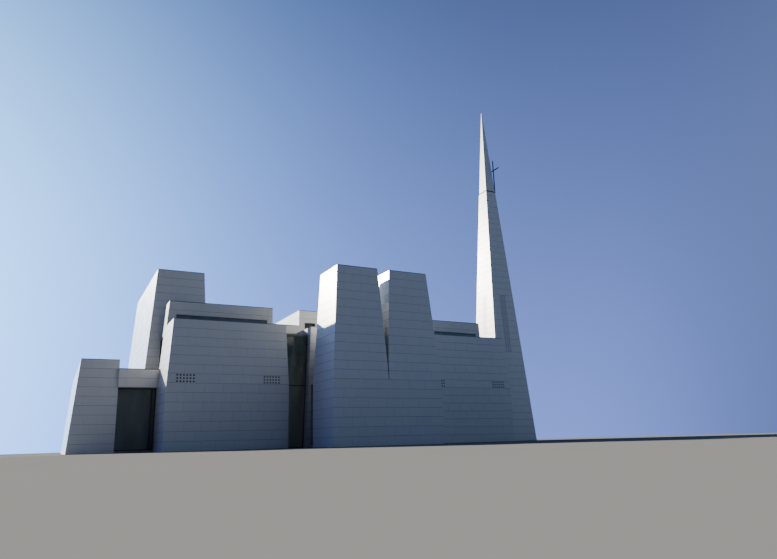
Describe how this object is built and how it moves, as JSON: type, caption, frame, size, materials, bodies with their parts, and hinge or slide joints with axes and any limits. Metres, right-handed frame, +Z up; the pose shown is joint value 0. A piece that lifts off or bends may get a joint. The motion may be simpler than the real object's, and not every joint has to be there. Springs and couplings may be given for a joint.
{
  "type": "church building",
  "caption": "Modern church of white tiled blocks with leaning walls, a cleft front tower, glazed slots and a slender square spire with a cross.",
  "frame": {"origin": "centre of the footprint's bounding box, on the ground", "axes": "+X along the street front to the right towards the spire, +Y away from the street into the depth, +Z up"},
  "size_m": [37.08, 25.254, 32.76],
  "materials": {
    "tile": "white glossy porcelain tiles in running courses with thin grey joints",
    "roofing": "matt grey membrane and gravel, guessed",
    "glass": "dark clear glazing",
    "metal": "dark satin metal",
    "stone": "honed stone floor, guessed"
  },
  "bodies": {
    "root": {"cleft_left_wall": "tile", "cleft_right_wall": "tile", "hall_back_wall": "tile", "hall_front_wall": "tile", "hall_high_roof": "roofing", "hall_left_wall": "tile", "hall_low_roof": "roofing", "hall_strip_window": "glass", "hall_upper_left_wall": "tile", "hall_window": "glass", "left_block_back_wall": "tile", "left_block_front_wall": "tile", "left_block_high_roof": "roofing", "left_block_left_wall": "tile", "left_block_low_roof": "roofing", "left_block_right_wall": "tile", "left_clerestory_wall": "tile", "left_strip_window": "glass", "link_glass": "glass", "link_roof": "tile", "lobby_back_wall": "tile", "lobby_floor": "stone", "lobby_roof": "roofing", "portal_lintel": "tile", "portal_screen": "glass", "right_block_front_wall": "tile", "right_block_inner_wall": "tile", "right_block_left_wall": "tile", "right_block_low_roof": "roofing", "right_block_right_wall": "tile", "right_block_slot_window": "glass", "slot_floor": "stone", "slot_roof": "metal", "slot_screen": "glass", "spire_cap": "tile", "spire_cross": "metal", "spire_link": "tile", "spire_ring": "metal", "spire_shell": "tile", "tall_block_back_wall": "tile", "tall_block_front_wall": "tile", "tall_block_left_wall": "tile", "tall_block_right_wall": "tile", "tall_block_roof": "roofing", "tower_back_wall": "tile", "tower_front_wall": "tile", "tower_left_roof": "roofing", "tower_left_wall": "tile", "tower_neck": "tile", "tower_right_roof": "roofing", "tower_right_wall": "tile", "wing_back_wall": "tile", "wing_front_wall": "tile", "wing_left_wall": "tile", "wing_right_wall": "tile", "wing_roof": "roofing"}
  },
  "joints": []
}
